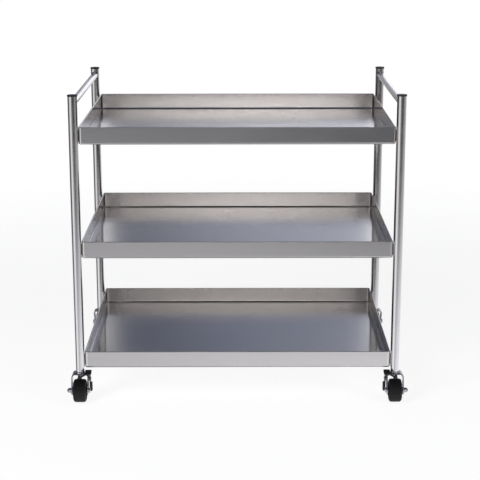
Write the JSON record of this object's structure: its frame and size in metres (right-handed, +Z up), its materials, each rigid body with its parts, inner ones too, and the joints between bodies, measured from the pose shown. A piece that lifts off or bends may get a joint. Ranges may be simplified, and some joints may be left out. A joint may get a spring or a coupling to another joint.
{
  "type": "tray trolley",
  "caption": "Open tray trolley in stainless tube and folded sheet: raised-edge trays one above another between round posts, a push handle at each end, swivel castors with front brakes.",
  "frame": {"origin": "on the floor in the middle of the four posts", "axes": "+X to the right along the trays' length towards a push handle, -Y towards the front, which the picture shows, +Z up"},
  "size_m": [0.9454, 0.705, 0.855],
  "materials": {
    "stainless_tube": "satin polished round tube",
    "stainless_sheet": "fine brushed along the tray's length",
    "weld": "cleaned weld, rippled",
    "cap_plastic": "moulded, dark grey",
    "insert_plastic": "moulded, dark grey",
    "plated_steel": "bright zinc plate",
    "bearing_steel": "ground balls in a pressed cage",
    "tyre_rubber": "matt black rubber",
    "hub_plastic": "moulded, black",
    "lever_steel": "black coated pressing",
    "pad_plastic": "moulded, black"
  },
  "bodies": {
    "frame": {"castor_stem_front_left": "plated_steel", "castor_stem_front_right": "plated_steel", "castor_stem_rear_left": "plated_steel", "castor_stem_rear_right": "plated_steel", "handle_left": "stainless_tube", "handle_right": "stainless_tube", "kingpin_nuts": "plated_steel", "post_cap_front_left": "cap_plastic", "post_cap_front_right": "cap_plastic", "post_cap_rear_left": "cap_plastic", "post_cap_rear_right": "cap_plastic", "post_front_left": "stainless_tube", "post_front_right": "stainless_tube", "post_rear_left": "stainless_tube", "post_rear_right": "stainless_tube", "stem_inserts": "insert_plastic", "stiffener_bottom": "stainless_sheet", "stiffener_middle": "stainless_sheet", "stiffener_top": "stainless_sheet", "tray_bottom": "stainless_sheet", "tray_middle": "stainless_sheet", "tray_top": "stainless_sheet", "tray_weld_beads": "weld", "upper_race_front_left": "plated_steel", "upper_race_front_right": "plated_steel", "upper_race_rear_left": "plated_steel", "upper_race_rear_right": "plated_steel"},
    "castor_front_left": {"axle_bolt_front_left": "plated_steel", "axle_nut_front_left": "plated_steel", "ball_ring_front_left": "bearing_steel", "brake_pin_front_left": "plated_steel", "fork_front_left": "plated_steel"},
    "wheel_front_left": {"hub_front_left": "hub_plastic", "tyre_front_left": "tyre_rubber"},
    "castor_front_right": {"axle_bolt_front_right": "plated_steel", "axle_nut_front_right": "plated_steel", "ball_ring_front_right": "bearing_steel", "brake_pin_front_right": "plated_steel", "fork_front_right": "plated_steel"},
    "wheel_front_right": {"hub_front_right": "hub_plastic", "tyre_front_right": "tyre_rubber"},
    "castor_rear_left": {"axle_bolt_rear_left": "plated_steel", "axle_nut_rear_left": "plated_steel", "ball_ring_rear_left": "bearing_steel", "fork_rear_left": "plated_steel"},
    "wheel_rear_left": {"hub_rear_left": "hub_plastic", "tyre_rear_left": "tyre_rubber"},
    "castor_rear_right": {"axle_bolt_rear_right": "plated_steel", "axle_nut_rear_right": "plated_steel", "ball_ring_rear_right": "bearing_steel", "fork_rear_right": "plated_steel"},
    "wheel_rear_right": {"hub_rear_right": "hub_plastic", "tyre_rear_right": "tyre_rubber"},
    "brake_front_left": {"brake_lever_front_left": "lever_steel", "brake_pad_front_left": "pad_plastic"},
    "brake_front_right": {"brake_lever_front_right": "lever_steel", "brake_pad_front_right": "pad_plastic"}
  },
  "joints": [
    {"name": "swivel_front_left", "type": "hinge", "parent": "frame", "child": "castor_front_left", "pos_m": [-0.4373, -0.3, 0.08], "axis": [0, 0, 1], "continuous": true},
    {"name": "wheel_spin_front_left", "type": "hinge", "parent": "castor_front_left", "child": "wheel_front_left", "pos_m": [-0.4373, -0.32, 0.0325], "axis": [1, 0, 0], "continuous": true},
    {"name": "swivel_front_right", "type": "hinge", "parent": "frame", "child": "castor_front_right", "pos_m": [0.4373, -0.3, 0.08], "axis": [0, 0, 1], "continuous": true},
    {"name": "wheel_spin_front_right", "type": "hinge", "parent": "castor_front_right", "child": "wheel_front_right", "pos_m": [0.4373, -0.32, 0.0325], "axis": [1, 0, 0], "continuous": true},
    {"name": "swivel_rear_left", "type": "hinge", "parent": "frame", "child": "castor_rear_left", "pos_m": [-0.4373, 0.3, 0.08], "axis": [0, 0, 1], "continuous": true},
    {"name": "wheel_spin_rear_left", "type": "hinge", "parent": "castor_rear_left", "child": "wheel_rear_left", "pos_m": [-0.4373, 0.32, 0.0325], "axis": [1, 0, 0], "continuous": true},
    {"name": "swivel_rear_right", "type": "hinge", "parent": "frame", "child": "castor_rear_right", "pos_m": [0.4373, 0.3, 0.08], "axis": [0, 0, 1], "continuous": true},
    {"name": "wheel_spin_rear_right", "type": "hinge", "parent": "castor_rear_right", "child": "wheel_rear_right", "pos_m": [0.4373, 0.32, 0.0325], "axis": [1, 0, 0], "continuous": true},
    {"name": "brake_front_left", "type": "hinge", "parent": "castor_front_left", "child": "brake_front_left", "pos_m": [-0.4373, -0.298, 0.06], "axis": [1, 0, 0], "range_deg": [0, 7.5]},
    {"name": "brake_front_right", "type": "hinge", "parent": "castor_front_right", "child": "brake_front_right", "pos_m": [0.4373, -0.298, 0.06], "axis": [1, 0, 0], "range_deg": [0, 7.5]}
  ]
}
